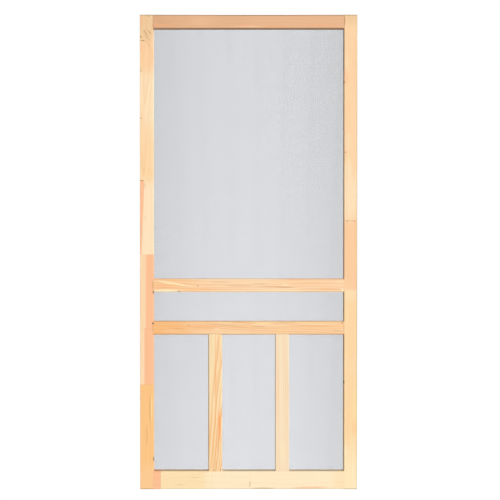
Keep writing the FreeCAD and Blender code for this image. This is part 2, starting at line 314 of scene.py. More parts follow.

# %% [markdown]
# ## A palette of pine
# Pine runs from ivory sapwood through peach and honey to rose heartwood, and resin, nicks and dirt
# are brown. The darkest browns also paint shade: dark lines along edges and in the corners of joints.
# Colours could be typed in where they are used, but named ones keep the boards akin.

# %% Name the tones
IVORY = (253, 235, 199)
BUTTER = (255, 238, 196)
CREAM = (252, 229, 193)
BISQUE = (252, 227, 187)
OAT = (248, 227, 194)
STRAW = (251, 226, 179)
LINEN = (243, 217, 170)
PRIMROSE = (255, 224, 164)
WHEAT = (251, 216, 165)
SAND = (252, 219, 179)
PEACH = (251, 216, 171)
APRICOT = (249, 204, 159)
HONEY = (251, 198, 134)
CORAL = (251, 193, 149)
ROSE = (252, 193, 151)
AMBER = (248, 190, 128)
SALMON = (246, 170, 130)
MARIGOLD = (255, 160, 96)
FAWN = (228, 190, 142)
TAN = (229, 182, 144)
DRIFTWOOD = (212, 166, 128)
GINGER = (240, 168, 118)
LATEWOOD = (236, 160, 92)
CARAMEL = (220, 168, 108)
# Painted shade: dark lines along the leaf's outer edges and along edges of the rails and a mullion, with
# dust on the bottom rail.
SHADE_BROWN = (150, 120, 86)
BROWN = (176, 116, 70)
UMBER = (112, 74, 46)
# Painted shadow: down the right stile's inner edge and in the corners of joints.
SHADOW_BLACK = (44, 30, 20)
print("tones from", IVORY, "to", SHADOW_BLACK)

# %% [markdown]
# ## The stiles
# The left stile is glued up from five lengths. Its top length is bisque with three knots by its
# outer edge; below come a cream one with a tapering band of heartwood, two that are part sand and
# part rose, and a honey one at the foot. The right stile has three quieter lengths. Noise could
# scatter their nicks and streaks. They are listed one by one, because one that lies where the eye
# expects it does more.

# %% The left stile
left_stile = Board(
    "left_stile",
    upright=True,
    seed=2.0,
    lengths=[
        Length(0, HONEY, pith=(100, 100), lean=(0.01, 0.0), ring=6.0, contrast=0.5),
        Length(447, SAND, ROSE, heart_edge=-10.4, pith=(120, 30), contrast=0.35),
        Length(686, SAND, ROSE, heart_edge=-3.1, pith=(140, 40), contrast=0.4),
        Length(1001, CREAM, ROSE, heart_edge=-60, heart_slope=0.038, heart_side=-1, contrast=0.25),
        Length(1314.5, BISQUE, pith=(-40, 60), lean=(0.02, -0.02), ring=6.0, contrast=0.25),
    ],
    knots=[(1904, -31, 11), (1781, -31, 5), (1580, -31, 5)],
    washes=[
        # Tan towards the head of the leaf.
        Patch(1970, 0, 115, 90, FAWN, strength=0.65),
        Patch(1850, 0, 110, 90, APRICOT, strength=0.6),
        Patch(1835, 0, 85, 90, HONEY, strength=0.2),
        Patch(1580, -15, 105, 16, APRICOT, strength=0.35),
        Patch(1340, 0, 45, 90, HONEY, strength=0.2),
        Patch(1995, -24, 45, 17, SALMON, strength=0.35),
        Patch(1430, 0, 170, 90, HONEY, strength=0.34),
        Patch(845, -27, 160, 8, ROSE, strength=0.35),
        Patch(845, -15, 150, 7, BISQUE, strength=0.4),
        Patch(30, 10, 110, 70, SAND, strength=0.3),
    ],
    marks=[
        # Painted shade: a dark line along the top end of the leaf.
        Patch(2019, 0, 5, 90, SHADE_BROWN, strength=0.6),
        Patch(2013, 9, 4, 4, BROWN, strength=0.6),
        Patch(1951, -9, 5, 4.5, BROWN, strength=0.5),
        Patch(1940, -2, 18, 4, BROWN, strength=0.6, tilt=-0.75),
        Patch(1946, 12, 16, 4, BROWN, strength=0.5, tilt=-0.8),
        Patch(1923, 3, 15, 4.5, BROWN, strength=0.45, tilt=-1.0),
        Patch(1900, 6, 30, 8, CARAMEL, strength=0.3, tilt=-0.4),
        Patch(1882, -22, 30, 12, ROSE, strength=0.5),
        Patch(1926, -25, 6, 9, BROWN, strength=0.65),
        Patch(1910, -17, 4, 15, BROWN),
        Patch(1790, -22, 2.5, 8, BROWN, strength=0.5),
        Patch(1781, -24, 2.5, 8, BROWN),
        Patch(1581, -24, 2.5, 8, BROWN),
        Patch(1316, -20, 2.6, 12, BROWN, strength=1.0),
        Patch(1296, -8, 18, 5, FAWN, strength=0.6),
        Patch(1158, -6, 12, 4, FAWN, strength=0.5),
        Patch(1105, -25, 55, 6, TAN, strength=0.6),
        Patch(869, 25.5, 26, 2.4, BROWN, strength=0.4),
        # Painted shadow in the joint corners below the upper middle rail and above the lower one.
        Patch(840, 28, 7, 3.4, SHADOW_BLACK, strength=0.85, deep=EDGE_DEEP),
        Patch(708, 26, 7, 3.4, SHADOW_BLACK, strength=0.85, deep=EDGE_DEEP),
        Patch(688, 25.5, 26, 2.4, BROWN, strength=0.45),
        # Painted shadow in the joint corner below the lower middle rail.
        Patch(663, 28, 6, 3, UMBER, strength=0.7, deep=EDGE_DEEP),
        Patch(337, 14, 95, 2.4, BROWN, strength=0.6),
        Patch(345, 21, 80, 4, PRIMROSE, strength=0.9),
        Patch(230, 0, 65, 7, CARAMEL, strength=0.4),
        Patch(128, 28, 13, 2.2, UMBER, strength=0.85, deep=EDGE_DEEP),
        # Painted shade: a dark line along the foot.
        Patch(1, 0, 5, 90, SHADE_BROWN, strength=0.5),
    ],
)
print("left stile:", len(left_stile.lengths), "lengths,", len(left_stile.marks), "marks")

# %% The right stile
right_stile = Board(
    "right_stile",
    upright=True,
    seed=9.3,
    lengths=[
        Length(0, WHEAT, pith=(-50, 80), lean=(0.02, 0.0), ring=6.0, contrast=0.15),
        Length(850, APRICOT, pith=(50, 80), ring=6.0, contrast=0.2),
        Length(1146, PEACH, pith=(60, 60), lean=(0.01, 0.01), ring=6.0, contrast=0.2),
    ],
    washes=[
        Patch(1650, 0, 900, 90, APRICOT, strength=0.25),
        # Tan towards the head of the leaf.
        Patch(2030, 0, 80, 90, FAWN, strength=0.5),
        Patch(1810, 17, 210, 14, APRICOT, strength=0.5),
        Patch(1815, -14, 60, 14, BISQUE, strength=0.4),
        Patch(1480, -12, 60, 20, BISQUE, strength=0.5),
        Patch(1755, -22, 55, 14, ROSE, strength=0.5),
        Patch(1370, -11, 65, 22, BISQUE, strength=0.9),
        Patch(1250, -4, 140, 70, BISQUE, strength=0.85),
        Patch(830, 0, 40, 60, BISQUE, strength=0.5),
        Patch(525, 0, 60, 60, SAND, strength=0.3),
        Patch(358, 18, 120, 15, PRIMROSE),
        Patch(262, 16, 45, 16, HONEY, strength=0.35),
        Patch(165, -14, 35, 14, IVORY, strength=0.5),
        Patch(-40, 0, 330, 90, BUTTER, strength=0.8),
    ],
    marks=[
        # Painted shade: a dark line along the top end of the leaf.
        Patch(2019, 0, 5, 90, SHADE_BROWN, strength=0.6),
        Patch(1993, -25, 36, 2.4, BROWN, strength=0.6),
        # Painted shade down the inner edge, and deeper painted shadow near the head.
        Patch(1100, -29.6, 1500, 2.2, BROWN, deep=EDGE_DEEP),
        Patch(1870, -29.6, 190, 2.4, SHADOW_BLACK, strength=1.0, deep=EDGE_DEEP),
        Patch(1734, -27, 6, 2.6, UMBER, strength=0.9, deep=EDGE_DEEP),
        Patch(1436, -22, 4, 7, BROWN),
        Patch(1416, -8, 24, 14, LINEN, strength=0.6),
        Patch(1145.5, 0, 2.4, 60, BROWN, strength=0.25),
        Patch(1142, -13, 5, 2.6, BROWN),
        Patch(1143, 15, 5, 2.6, BROWN),
        Patch(457, -28, 9, 3, UMBER, strength=0.9, deep=EDGE_DEEP),
        Patch(172, 29.5, 18, 3.4, BROWN),
        # Painted shade: a dark line down the outer edge.
        Patch(1000, 29.5, 2500, 4.5, SHADE_BROWN, strength=0.75),
        # Painted shade: a dark line along the foot.
        Patch(1, 0, 5, 90, SHADE_BROWN, strength=0.5),
    ],
)
print("right stile:", len(right_stile.lengths), "lengths,", len(right_stile.marks), "marks")

# %% [markdown]
# ## The rails and mullions
# The top rail is a smooth tan length. The two middle rails and the left mullion show lively grain,
# which comes from a pith that leans, so that the rings run out of the face. The right mullion is
# plain and pale. The bottom rail starts coral, close to the stile beside it, and then pales. One
# pine could serve them all, but each board in a door comes from another tree.

# %% The top rail and the bottom rail
top_rail = Board(
    "top_rail",
    upright=False,
    seed=14.1,
    lengths=[Length(0, TAN, pith=(-50, 80), lean=(0.01, 0.0), ring=6.0, contrast=0.5)],
    washes=[
        Patch(60, 0, 230, 60, DRIFTWOOD, strength=0.42),
        Patch(100, -2, 45, 14, DRIFTWOOD, strength=0.4),
        Patch(75, 10, 45, 25, DRIFTWOOD, strength=0.5),
        Patch(275, 2, 85, 26, PEACH, strength=0.15),
        Patch(370, 0, 150, 60, DRIFTWOOD, strength=0.25),
    ],
    marks=[
        Patch(90, -16, 80, 6, GINGER, strength=0.4),
        Patch(450, -14, 55, 4.5, SALMON, strength=0.55),
        Patch(470, -22, 100, 5, PEACH, strength=0.35),
        Patch(570, -20, 110, 6, GINGER, strength=0.3),
        Patch(765, -15, 130, 7, GINGER, strength=0.4),
        Patch(55, 2, 3, 40, BROWN, strength=0.35),
        Patch(57, -19, 2.5, 9, BROWN, strength=0.6),
        Patch(870, 2, 2.5, 40, BROWN),
        # Painted shade: a dark line along the top edge of the leaf.
        Patch(460, 28.5, 3000, 7, SHADE_BROWN, strength=0.75),
    ],
)
bottom_rail = Board(
    "bottom_rail",
    upright=False,
    seed=33.9,
    lengths=[
        Length(0, CORAL, pith=(0, 100), contrast=0.3),
        Length(88, STRAW, pith=(40, 60), lean=(0.02, 0.05), ring=5.0, contrast=0.3),
        Length(306.6, IVORY, contrast=0.25),
        Length(468.6, IVORY, pith=(-100, 50), contrast=0.22),
    ],
    washes=[Patch(310, 0, 50, 90, IVORY, strength=0.8), Patch(870, 0, 70, 90, STRAW)],
    marks=[
        Patch(235, 12, 30, 1.8, BROWN, strength=0.35),
        Patch(170, -20, 30, 1.8, BROWN, strength=0.3),
        Patch(468.6, -16, 2.4, 20, BROWN),
        Patch(525, -35, 65, 5, DRIFTWOOD),
        Patch(720, -32, 100, 6, GINGER, strength=0.45, tilt=0.02),
        # Painted shade: a dark line along the foot.
        Patch(460, -40, 2000, 6, SHADE_BROWN, strength=0.45),
        # Dust and painted shade along the upper edge, where the rail meets the mesh.
        Patch(460, 39.8, 3000, 2.2, SHADE_BROWN, strength=0.35, deep=EDGE_DEEP),
    ],
)
print("top and bottom rail:", len(top_rail.marks) + len(bottom_rail.marks), "marks")

# %% The two middle rails
upper_middle_rail = Board(
    "upper_middle_rail",
    upright=False,
    seed=21.7,
    wild=1.2,
    lengths=[Length(0, SAND, pith=(75, 100), lean=(-0.03, 0.01), ring=5.5, contrast=0.9)],
    knots=[(246, -2, 3)],
    washes=[
        Patch(100, 0, 190, 60, HONEY, strength=0.5),
        Patch(215, 20, 75, 6, APRICOT, strength=0.5),
        Patch(100, -5, 70, 9, ROSE, tilt=-0.05),
        Patch(260, -16, 85, 8, HONEY, strength=0.5),
        Patch(720, 4, 230, 30, APRICOT, strength=0.15),
        Patch(690, 13, 200, 14, HONEY, strength=0.25),
    ],
    marks=[
        Patch(149, 7, 105, 5, BUTTER, strength=0.9, tilt=-0.15),
        Patch(110, -22, 85, 7, BUTTER, strength=0.95),
        Patch(166.5, -25, 6, 3.4, UMBER, strength=0.9),
        Patch(246, -2, 5, 3.2, BROWN, strength=0.8),
        Patch(340, 14, 65, 2, BROWN, strength=0.45, tilt=-0.02),
        Patch(430, -2, 90, 2.2, BROWN, strength=0.5),
        Patch(510, 7, 50, 2, BROWN, strength=0.45),
        Patch(545, -4.5, 70, 2.2, BROWN, strength=0.5, tilt=-0.02),
        Patch(612, -7, 60, 2.4, BROWN, strength=0.6, tilt=-0.02),
        Patch(600, -21, 330, 6, BUTTER, strength=0.5),
        Patch(622, 2, 26, 3.4, BUTTER, strength=0.8),
        Patch(660, 25, 85, 4.5, SALMON, strength=0.5),
        Patch(780, 24, 110, 6, SALMON, strength=0.3),
        Patch(810, -13, 55, 2.6, GINGER, strength=0.5),
        Patch(861, -20, 12, 6, BUTTER, strength=0.9),
        Patch(56, 2, 3, 26, BROWN, strength=0.3),
        # Painted shadow in the joint corner at the rail's lower left end.
        Patch(57.5, -24, 4, 5, UMBER, strength=0.6),
    ],
)
lower_middle_rail = Board(
    "lower_middle_rail",
    upright=False,
    seed=28.2,
    lengths=[Length(0, PEACH, pith=(90, 100), lean=(-0.04, 0.0), ring=5.0, contrast=0.9)],
    washes=[
        Patch(80, 0, 210, 60, AMBER, strength=1.0),
        Patch(270, 6, 110, 26, AMBER, strength=0.5),
        Patch(135, -14, 55, 14, PEACH, strength=0.3),
        Patch(440, 12, 110, 16, HONEY, strength=0.2),
        Patch(790, 10, 220, 26, AMBER, strength=0.38),
        Patch(592, -14, 24, 14, PRIMROSE, strength=0.6),
    ],
    marks=[
        Patch(208, 10, 10, 2.2, BROWN, strength=0.5),
        Patch(366, 11, 110, 2.2, BROWN, strength=0.45, tilt=-0.07),
        Patch(160, -2, 45, 2.4, BROWN, strength=0.3, tilt=-0.05),
        Patch(326, -5, 24, 6, SAND, strength=0.8),
        Patch(520, 18, 60, 4.5, PRIMROSE, strength=0.8),
        Patch(620, 22, 75, 2.2, BROWN, strength=0.4),
        Patch(507, 5, 48, 2.2, BROWN, strength=0.45),
        Patch(740, 9, 130, 2.2, BROWN, strength=0.4, tilt=-0.02),
        Patch(750, 16, 110, 4, PRIMROSE),
        Patch(840, -11, 28, 2, BROWN, strength=0.4),
        Patch(862, 22, 9, 5, BROWN, strength=0.5),
        Patch(868, 0, 2.5, 30, BROWN, strength=0.3),
        # Painted shade: a soft dark line along the lower edge.
        Patch(460, -26, 3000, 3, BROWN, strength=0.4),
        # Painted shadow in the joint corner at the rail's upper left end.
        Patch(57, 20, 4, 7, SHADOW_BLACK),
    ],
)
print("middle rails:", len(upper_middle_rail.marks) + len(lower_middle_rail.marks), "marks")

# %% The two mullions
left_mullion = Board(
    "left_mullion",
    upright=True,
    seed=40.4,
    wild=1.1,
    lengths=[Length(0, STRAW, pith=(-80, 100), lean=(0.1, 0.0), ring=6.0, contrast=1.0)],
    washes=[
        Patch(590, 15, 80, 12, APRICOT, strength=0.6),
        Patch(450, 5, 95, 7, AMBER, strength=0.6, tilt=0.13),
        Patch(180, 0, 200, 70, AMBER, strength=0.25),
    ],
    marks=[
        Patch(600, -15, 110, 13, LINEN, strength=0.6),
        Patch(275, 19.5, 85, 7, MARIGOLD, strength=0.9),
        Patch(210, 14, 70, 3.5, GINGER, tilt=0.06),
        Patch(84, 23.5, 11, 2.4, BROWN, strength=0.75),
        Patch(81, -3, 6, 3.5, BROWN, strength=0.5),
        Patch(100, 4, 35, 4, CARAMEL, strength=0.4),
        # Painted shade: a dark line down the left edge.
        Patch(380, -28, 1000, 6, SHADE_BROWN, strength=0.45),
    ],
)
right_mullion = Board(
    "right_mullion",
    upright=True,
    seed=47.8,
    lengths=[Length(0, OAT, pith=(60, 80), lean=(0.01, 0.0), contrast=0.4)],
    washes=[
        Patch(160, 6, 70, 20, BUTTER, strength=0.3),
        Patch(420, -18, 220, 9, SAND, strength=0.5),
    ],
)
RAILS = (top_rail, upper_middle_rail, lower_middle_rail, bottom_rail)
BOARDS = (left_stile, right_stile, *RAILS, left_mullion, right_mullion)
print("boards:", len(BOARDS), "washes:", sum(len(board.washes) for board in BOARDS))

# %% [markdown]
# ## Growth rings
# Sawn pine is a slice through a cone of growth rings, so its figure is the distance to the pith,
# wobbled a little and counted in rings. A face across the rings shows arches, one along them shows
# lines, and an end shows arcs, all from one formula. A picture of grain wrapped round the board would
# break at every corner. `Timber` first finds where a point lies in its own length of its own board.

# %% Find a point in its board
FINGER_PITCH = 4.5 * MM
FINGER_LENGTH = 9.0 * MM


class Timber(Finish):
    """The finish of one board, with the place of a point in it and the length that it is in."""

    def __init__(self, board):
        super().__init__(f"pine_{board.node}")
        self.board = board
        low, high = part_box(board.node)
        middle = (low + high) / 2
        x, self.depth, z = self.position()
        self.behind_face = self.depth - low.y
        if board.upright:
            self.along, self.across = z, x - middle.x
        else:
            self.along, self.across = x, z - middle.z

        # Fingers show as a zigzag on the narrow edges and as a straight line on the faces.
        zigzag = abs((self.depth / FINGER_PITCH).fraction() - 0.5) * 2
        zigzag_on_face = abs((low.y / FINGER_PITCH) % 1.0 - 0.5) * 2
        self.fingered = self.along + (zigzag - zigzag_on_face) * FINGER_LENGTH
        self.steps = [self.fingered > length.start for length in board.lengths[1:]]

    def by_length(self, part):
        """A number of the length that the point is in."""
        lengths = self.board.lengths
        total = getattr(lengths[0], part)
        for before, length, step in zip(lengths, lengths[1:], self.steps):
            change = getattr(length, part) - getattr(before, part)
            total = step * change + total if change else total
        return total

    def tone_by_length(self, part):
        """A tone of the length that the point is in."""
        first, *others = self.board.lengths
        colour = getattr(first, part)
        for length, step in zip(others, self.steps):
            colour = self.mix(step, colour, getattr(length, part))
        return colour


print("finger joints:", sum(len(board.lengths) - 1 for board in BOARDS))

# %% Let the grain wander
# Features to a metre along the grain and across it, and how far each kind moves the grain.
BENDS_ALONG, BENDS_ACROSS = 2.4, 5
BEND_REACH = 26 * MM
RIPPLES_ALONG, RIPPLES_ACROSS = 11, 26
RIPPLE_REACH = 5 * MM
# In radii of a knot: where the grain begins to part, where it has parted, and how far it moves.
PARTING_BEGINS = 5
PARTING_ENDS = 0.4
KNOT_PUSH = 2.0
KNOT_SLENDERNESS = 0.6


def wandering(timber):
    """How far the grain strays sideways: slow bends, small ripples, and a way round each knot."""
    seed, wild = timber.board.seed, timber.board.wild
    along, across, depth = timber.along, timber.across, timber.depth
    bend_place = along * BENDS_ALONG + seed, across * BENDS_ACROSS + seed, depth * BENDS_ACROSS
    bends = timber.noise(*bend_place, detail=1.0) - 0.5
    ripple_place = along * RIPPLES_ALONG + seed, across * RIPPLES_ACROSS, depth * RIPPLES_ACROSS + seed
    ripples = timber.noise(*ripple_place, detail=1.0) - 0.5
    stray = bends * (BEND_REACH * wild) + ripples * (RIPPLE_REACH * wild)
    for knot_along, knot_across, radius in timber.board.knots:
        aside = across - knot_across
        away = (((along - knot_along) * KNOT_SLENDERNESS).squared() + aside.squared()).root()
        parted = away.ramp(radius * PARTING_BEGINS, radius * PARTING_ENDS)
        stray = stray - parted * aside / away * (radius * KNOT_PUSH)
    return stray


print("knots:", sum(len(board.knots) for board in BOARDS))

# %% Count the rings
# Good and poor years: features to a ring and to a metre, the span of noise that shows, the late
# wood of a poor year and what a good one adds.
YEARS_BY_RING = 0.45
YEARS_ALONG = 1.5
YEAR_SPAN = (0.3, 0.75)
POOR_YEAR = 0.25
YEAR_GAIN = 1.1
# The part of a ring after which its late wood stops.
RING_CLOSES = 0.85


def latewood(timber, stray):
    """1 in the dark late wood of a ring, which comes on slowly and ends sharply."""
    along = timber.along
    lean_across, lean_behind = timber.by_length("lean_across"), timber.by_length("lean_behind")
    aside = timber.across + stray - along * lean_across - timber.by_length("pith_across")
    behind = timber.depth - along * lean_behind - timber.by_length("pith_behind")
    rings = (aside.squared() + behind.squared()).root() / timber.by_length("ring")
    year_place = rings * YEARS_BY_RING, along * YEARS_ALONG + timber.board.seed, 0.0
    years = timber.noise(*year_place, detail=1.0).ramp(*YEAR_SPAN)
    ring_part = rings.fraction()
    return ring_part.squared() * ring_part.ramp(1.0, RING_CLOSES) * (years * YEAR_GAIN + POOR_YEAR)


print("ring widths in mm:", sorted({length.ring / MM for board in BOARDS for length in board.lengths}))

# %% [markdown]
# ## Colour over the rings
# The washes lie in the wood, so they go first. On top of the rings come broad streaks, fine fibres
# and short dashes of resin, all drawn out along the grain, then the marks, a hair line at each joint,
# and darker end grain, where the open pores take in the light. The marks are nicks, stains and
# painted shade, and a mark stays near the front face. Mixing towards a darker wood tone keeps every
# step warm, where a plain multiply would turn it grey.

# %% Find end grain and heartwood, and lay patches
END_FACING = (0.6, 0.9)
HEART_FRAY = 3 * MM
HEART_BLUR = 0.7 * MM
# Shares of a patch's size that are full and that the streaks fray, and of a mark's depth that is full.
PATCH_CORE = 0.3
PATCH_FRAY = 0.5
MARK_CORE = 0.7


def end_grain(timber):
    """1 where the surface is cut across the grain."""
    normal = timber.node("ShaderNodeNewGeometry")["Normal"]
    facing = timber.node("ShaderNodeSeparateXYZ", Vector=normal)
    return abs(facing["Z" if timber.board.upright else "X"]).ramp(*END_FACING)


def heart_share(timber, streak):
    """1 in heartwood, with an edge that feathers along the streaks."""
    edge = timber.across - timber.along * timber.by_length("heart_slope")
    side = (edge - timber.by_length("heart_edge")) * timber.by_length("heart_side")
    return (side + (streak - 0.5) * HEART_FRAY).ramp(-HEART_BLUR, HEART_BLUR)


def patched(timber, colour, patches, streak, through):
    """The colour with patches over it, frayed by the streaks, right through or near the face only."""
    for patch in patches:
        run = timber.along - patch.along
        aside = (timber.across - patch.across - run * patch.tilt) / patch.half_width
        away = (aside.squared() + (run / patch.half_length).squared()).root()
        reach = away + (streak - 0.5) * PATCH_FRAY
        share = reach.ramp(1.0, PATCH_CORE) * patch.strength
        if not through:
            share = share * timber.behind_face.ramp(patch.deep, patch.deep * MARK_CORE)
        colour = timber.mix(share, colour, patch.colour)
    return colour


print("marks on the faces:", sum(len(board.marks) for board in BOARDS))

# %% Mix the pine
DARK_RING = tone(*LATEWOOD)
HAIR_LINE_SPAN = (1.4 * MM, 0.3 * MM)
# Features to a metre, along the grain and across it, and the span of noise that shows.
STREAKS_ALONG, STREAKS_ACROSS = 2.2, 120
STREAK_SPAN = (0.45, 0.85)
FIBRES_ALONG, FIBRES_ACROSS = 16, 1400
FIBRE_SPAN = (0.4, 0.8)
RESIN_ALONG, RESIN_ACROSS = 90, 2200
RESIN_SPAN = (0.72, 0.8)
# How far each turns the colour to a darker one.
STREAK_TINT = 0.4
RESIN_TINT = 0.3
FIBRE_TINT = 0.1
HAIR_LINE_TINT = 0.15
END_TINT = 0.35
# How rough planed wood is, and what fibres and end grain add.
PLANED_ROUGHNESS = 0.55
FIBRE_ROUGHNESS = 0.15
END_ROUGHNESS = 0.2
LATE_RELIEF = 0.4
FIBRE_RELIEF = 0.6
RELIEF_DEPTH = 0.12 * MM
PINE_SPECULAR = 0.3


def pine(board):
    """The finish of one board of bare pine."""
    timber = Timber(board)
    along, depth, seed = timber.along, timber.depth, board.seed
    stray = wandering(timber)
    grain = timber.across + stray
    late = latewood(timber, stray)
    streak = timber.noise(along * STREAKS_ALONG + seed, grain * STREAKS_ACROSS, depth * STREAKS_ACROSS)
    fibre = timber.noise(along * FIBRES_ALONG, grain * FIBRES_ACROSS, depth * FIBRES_ACROSS + seed)
    resin_place = along * RESIN_ALONG, grain * RESIN_ACROSS, depth * RESIN_ACROSS + seed
    resin = timber.noise(*resin_place, detail=0.0).ramp(*RESIN_SPAN)
    ends = end_grain(timber)

    contrast = timber.by_length("contrast")
    hearted = heart_share(timber, streak)
    colour = timber.mix(hearted, timber.tone_by_length("sap"), timber.tone_by_length("heart"))
    colour = patched(timber, colour, board.washes, streak, through=True)
    colour = timber.mix(late * contrast, colour, DARK_RING)
    colour = timber.mix(streak.ramp(*STREAK_SPAN) * contrast * STREAK_TINT, colour, DARK_RING)
    fine = resin * RESIN_TINT + fibre.ramp(*FIBRE_SPAN) * FIBRE_TINT
    colour = timber.mix(fine, colour, DARK_RING)
    colour = patched(timber, colour, board.marks, streak, through=False)
    for length in board.lengths[1:]:
        hair_line = abs(timber.fingered - length.start).ramp(*HAIR_LINE_SPAN)
        colour = timber.mix(hair_line * HAIR_LINE_TINT, colour, tone(*BROWN))
    colour = timber.mix(ends * END_TINT, colour, DARK_RING)

    return timber.painted(
        colour,
        roughness=PLANED_ROUGHNESS + fibre * FIBRE_ROUGHNESS + ends * END_ROUGHNESS,
        relief=late * LATE_RELIEF + fibre * FIBRE_RELIEF,
        relief_depth=RELIEF_DEPTH,
        specular=PINE_SPECULAR,
    )


pine_finish = {board.node: pine(board) for board in BOARDS}
print("nodes in the pine finishes:", sum(len(made.node_tree.nodes) for made in pine_finish.values()))

# %% [markdown]
# ## Eased edges
# A planed board has no knife edges: sanding takes them off, and a thin line of light shows on each.
# A bevel modifier would do it too, but it would also round the edges left between the triangles of a
# flat face. So each member is a copy of its solid, cleaned to plain faces, whose sharp outer edges
# are then bevelled by half a millimetre. It stays flat shaded: smooth shading would bend the light on
# the long faces towards their ends.

# %% Ease the edges of the members
EASE = 0.5 * MM
EASE_STEPS = 2
ROUND_PROFILE = 0.5
WELD = 0.01 * MM
FLAT_ANGLE = math.radians(0.5)
SHARP_ANGLE = math.radians(30)


def add_piece(name, mesh, finish, node):
    """Puts a mesh into the scene in place of a solid."""
    mesh.materials.append(finish)
    piece = bpy.data.objects.new(name, mesh)
    bpy.context.scene.collection.objects.link(piece)
    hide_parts(node)
    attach(piece, "root")
    return piece


def is_sharp(edge):
    """Whether an edge stands out sharply enough to be sanded."""
    if len(edge.link_faces) != 2 or not edge.is_convex:
        return False
    return edge.calc_face_angle() > SHARP_ANGLE


def eased_member(node):
    """A copy of a member's solid with its sharp edges taken off."""
    shape = bmesh.new()
    shape.from_mesh(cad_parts[node].data)
    bmesh.ops.remove_doubles(shape, verts=shape.verts, dist=WELD)
    bmesh.ops.dissolve_limit(shape, angle_limit=FLAT_ANGLE, verts=shape.verts, edges=shape.edges)
    sharp = [edge for edge in shape.edges if is_sharp(edge)]
    rounded = {"segments": EASE_STEPS, "profile": ROUND_PROFILE, "clamp_overlap": True}
    bmesh.ops.bevel(shape, geom=sharp, offset=EASE, affect="EDGES", **rounded)
    mesh = bpy.data.meshes.new(f"eased_{node}")
    shape.to_mesh(mesh)
    shape.free()
    return add_piece(f"eased_{node}", mesh, pine_finish[node], node)


members = [eased_member(board.node) for board in BOARDS]
print("faces of the members:", {piece.name: len(piece.data.polygons) for piece in members})

# %% [markdown]
# ## Insect mesh
# Screen cloth is glass yarn in a vinyl coat, eighteen strands to the inch one way and sixteen the
# other, welded flat where they cross. A sheet with holes in its material would be light, but it turns
# to mist at a distance and to a grey card without that material. Real strands cost few triangles when
# each is one six-sided bar, turned down at both ends into the groove as the fitter's wheel leaves it.

# %% Lay out the strands
INCH = 25.4 * MM
UPRIGHT_PITCH = INCH / 18
LEVEL_PITCH = INCH / 16
YARN_WIDTH = 0.35 * MM
YARN_THICKNESS = 0.28 * MM
YARN_SIDES = 6
SHEET = 0.3 * MM


def evenly(low, high, pitch):
    """Places a pitch apart between two limits, centred."""
    count = int((high - low) / pitch)
    margin = (high - low - count * pitch) / 2
    return low + margin + pitch * np.arange(count + 1)


def tube_faces(rings, sides):
    """Faces of a closed tube whose points are rows of rings."""
    faces = []
    for row in range(rings - 1):
        here, there = row * sides, (row + 1) * sides
        for i in range(sides):
            j = (i + 1) % sides
            faces.append((here + i, here + j, there + j, there + i))
    last = (rings - 1) * sides
    return faces + [tuple(reversed(range(sides))), tuple(range(last, last + sides))]


def shade_round(mesh, below):
    """Shades a mesh smooth over edges that turn by less than an angle in degrees."""
    mesh.shade_smooth()
    mesh.set_sharp_from_angle(angle=math.radians(below))


def strands(places, sideways, start, end, flat, lip):
    """Points of strands that lie at places along the sideways axis, X or Z, as 0 or 2.

    Each comes up from the lip at its start, crosses on the flat and goes down at its end.
    """
    lengthways = 2 - sideways
    path = [(lip, start), (flat, start), (flat, end), (lip, end)]
    # How a point off the yarn's middle shifts, in depth and along, so that the bends are mitred.
    mitres = [(0, 1), (-1, 1), (-1, -1), (0, -1)]
    turns = 2 * math.pi * np.arange(YARN_SIDES) / YARN_SIDES
    wide, thick = np.cos(turns) * YARN_WIDTH / 2, np.sin(turns) * YARN_THICKNESS / 2
    strand = np.zeros((len(path), YARN_SIDES, 3))
    for row, ((depth, run), (mitre_depth, mitre_run)) in enumerate(zip(path, mitres)):
        strand[row, :, sideways] = wide
        strand[row, :, 1] = depth + thick * mitre_depth
        strand[row, :, lengthways] = run + thick * mitre_run
    points = np.repeat(strand.reshape(1, -1, 3), len(places), axis=0)
    points[:, :, sideways] += places[:, None]
    return points


print(f"strand to strand: {UPRIGHT_PITCH / MM:.2f} by {LEVEL_PITCH / MM:.2f} mm")

# %% Weave the panels
CHARCOAL = (42, 44, 48)
DUSTY_CHARCOAL = (66, 69, 74)
# Features to a metre, and how far each pales the vinyl.
DUST = 30
DUST_TINT = 0.6
FLECKS = 900
FLECK_TINT = 0.2
FLECK_DEPTH = 0.02 * MM
YARN_ROUGHNESS = 0.42
FLECK_ROUGHNESS = 0.2
# Degrees that an edge may turn and still be shaded round.
YARN_ROUND = 65


def charcoal_vinyl():
    """Nearly black, a little dusty, with a slight sheen on each strand."""
    finish = Finish("charcoal_vinyl")
    x, y, z = finish.position()
    dust = finish.noise(x * DUST, y * DUST, z * DUST, detail=3.0)
    fleck = finish.noise(x * FLECKS, y * FLECKS, z * FLECKS, detail=1.0)
    pale = dust * DUST_TINT + fleck * FLECK_TINT
    colour = finish.mix(pale, tone(*CHARCOAL), tone(*DUSTY_CHARCOAL))
    roughness = YARN_ROUGHNESS + fleck * FLECK_ROUGHNESS
    return finish.painted(colour, roughness, relief=fleck, relief_depth=FLECK_DEPTH)


mesh_finish = charcoal_vinyl()


